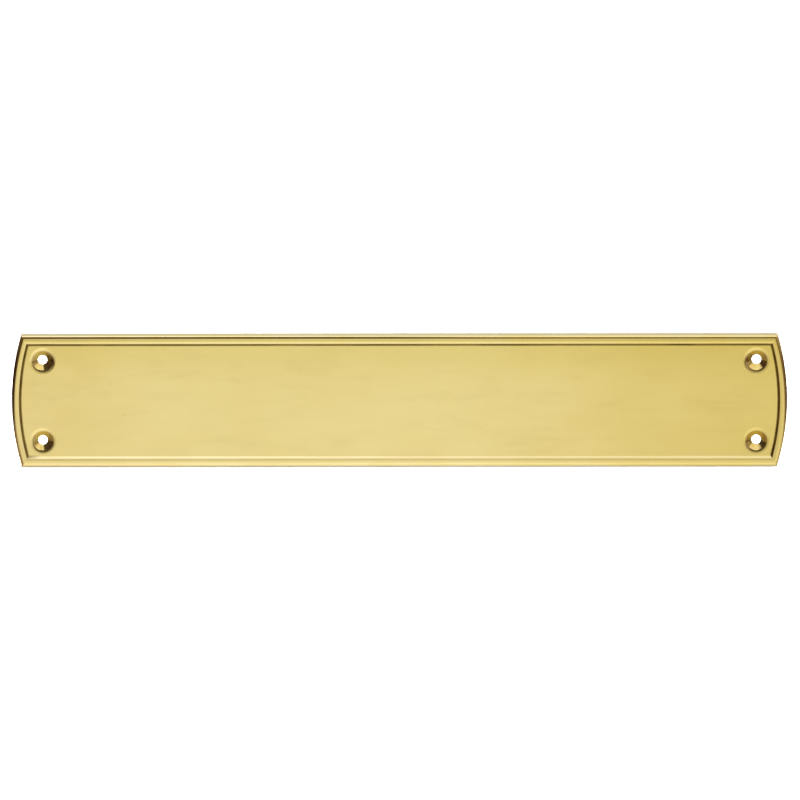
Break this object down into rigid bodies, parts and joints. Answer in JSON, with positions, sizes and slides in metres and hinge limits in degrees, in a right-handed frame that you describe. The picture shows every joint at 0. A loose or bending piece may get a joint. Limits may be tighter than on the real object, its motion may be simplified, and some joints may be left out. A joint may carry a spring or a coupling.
{
  "type": "door finger plate",
  "caption": "Long pressed brass door finger plate with bowed ends, a raised stepped border and countersunk screw holes.",
  "frame": {"origin": "middle of the back, on the plane that lies against the door, at the centre of the four screw holes", "axes": "+X along the plate, +Z across its width, -Y out of the door through the face"},
  "size_m": [0.382, 0.0055, 0.0666],
  "materials": {
    "brass": "polished"
  },
  "bodies": {
    "root": {"plate": "brass"}
  },
  "joints": []
}
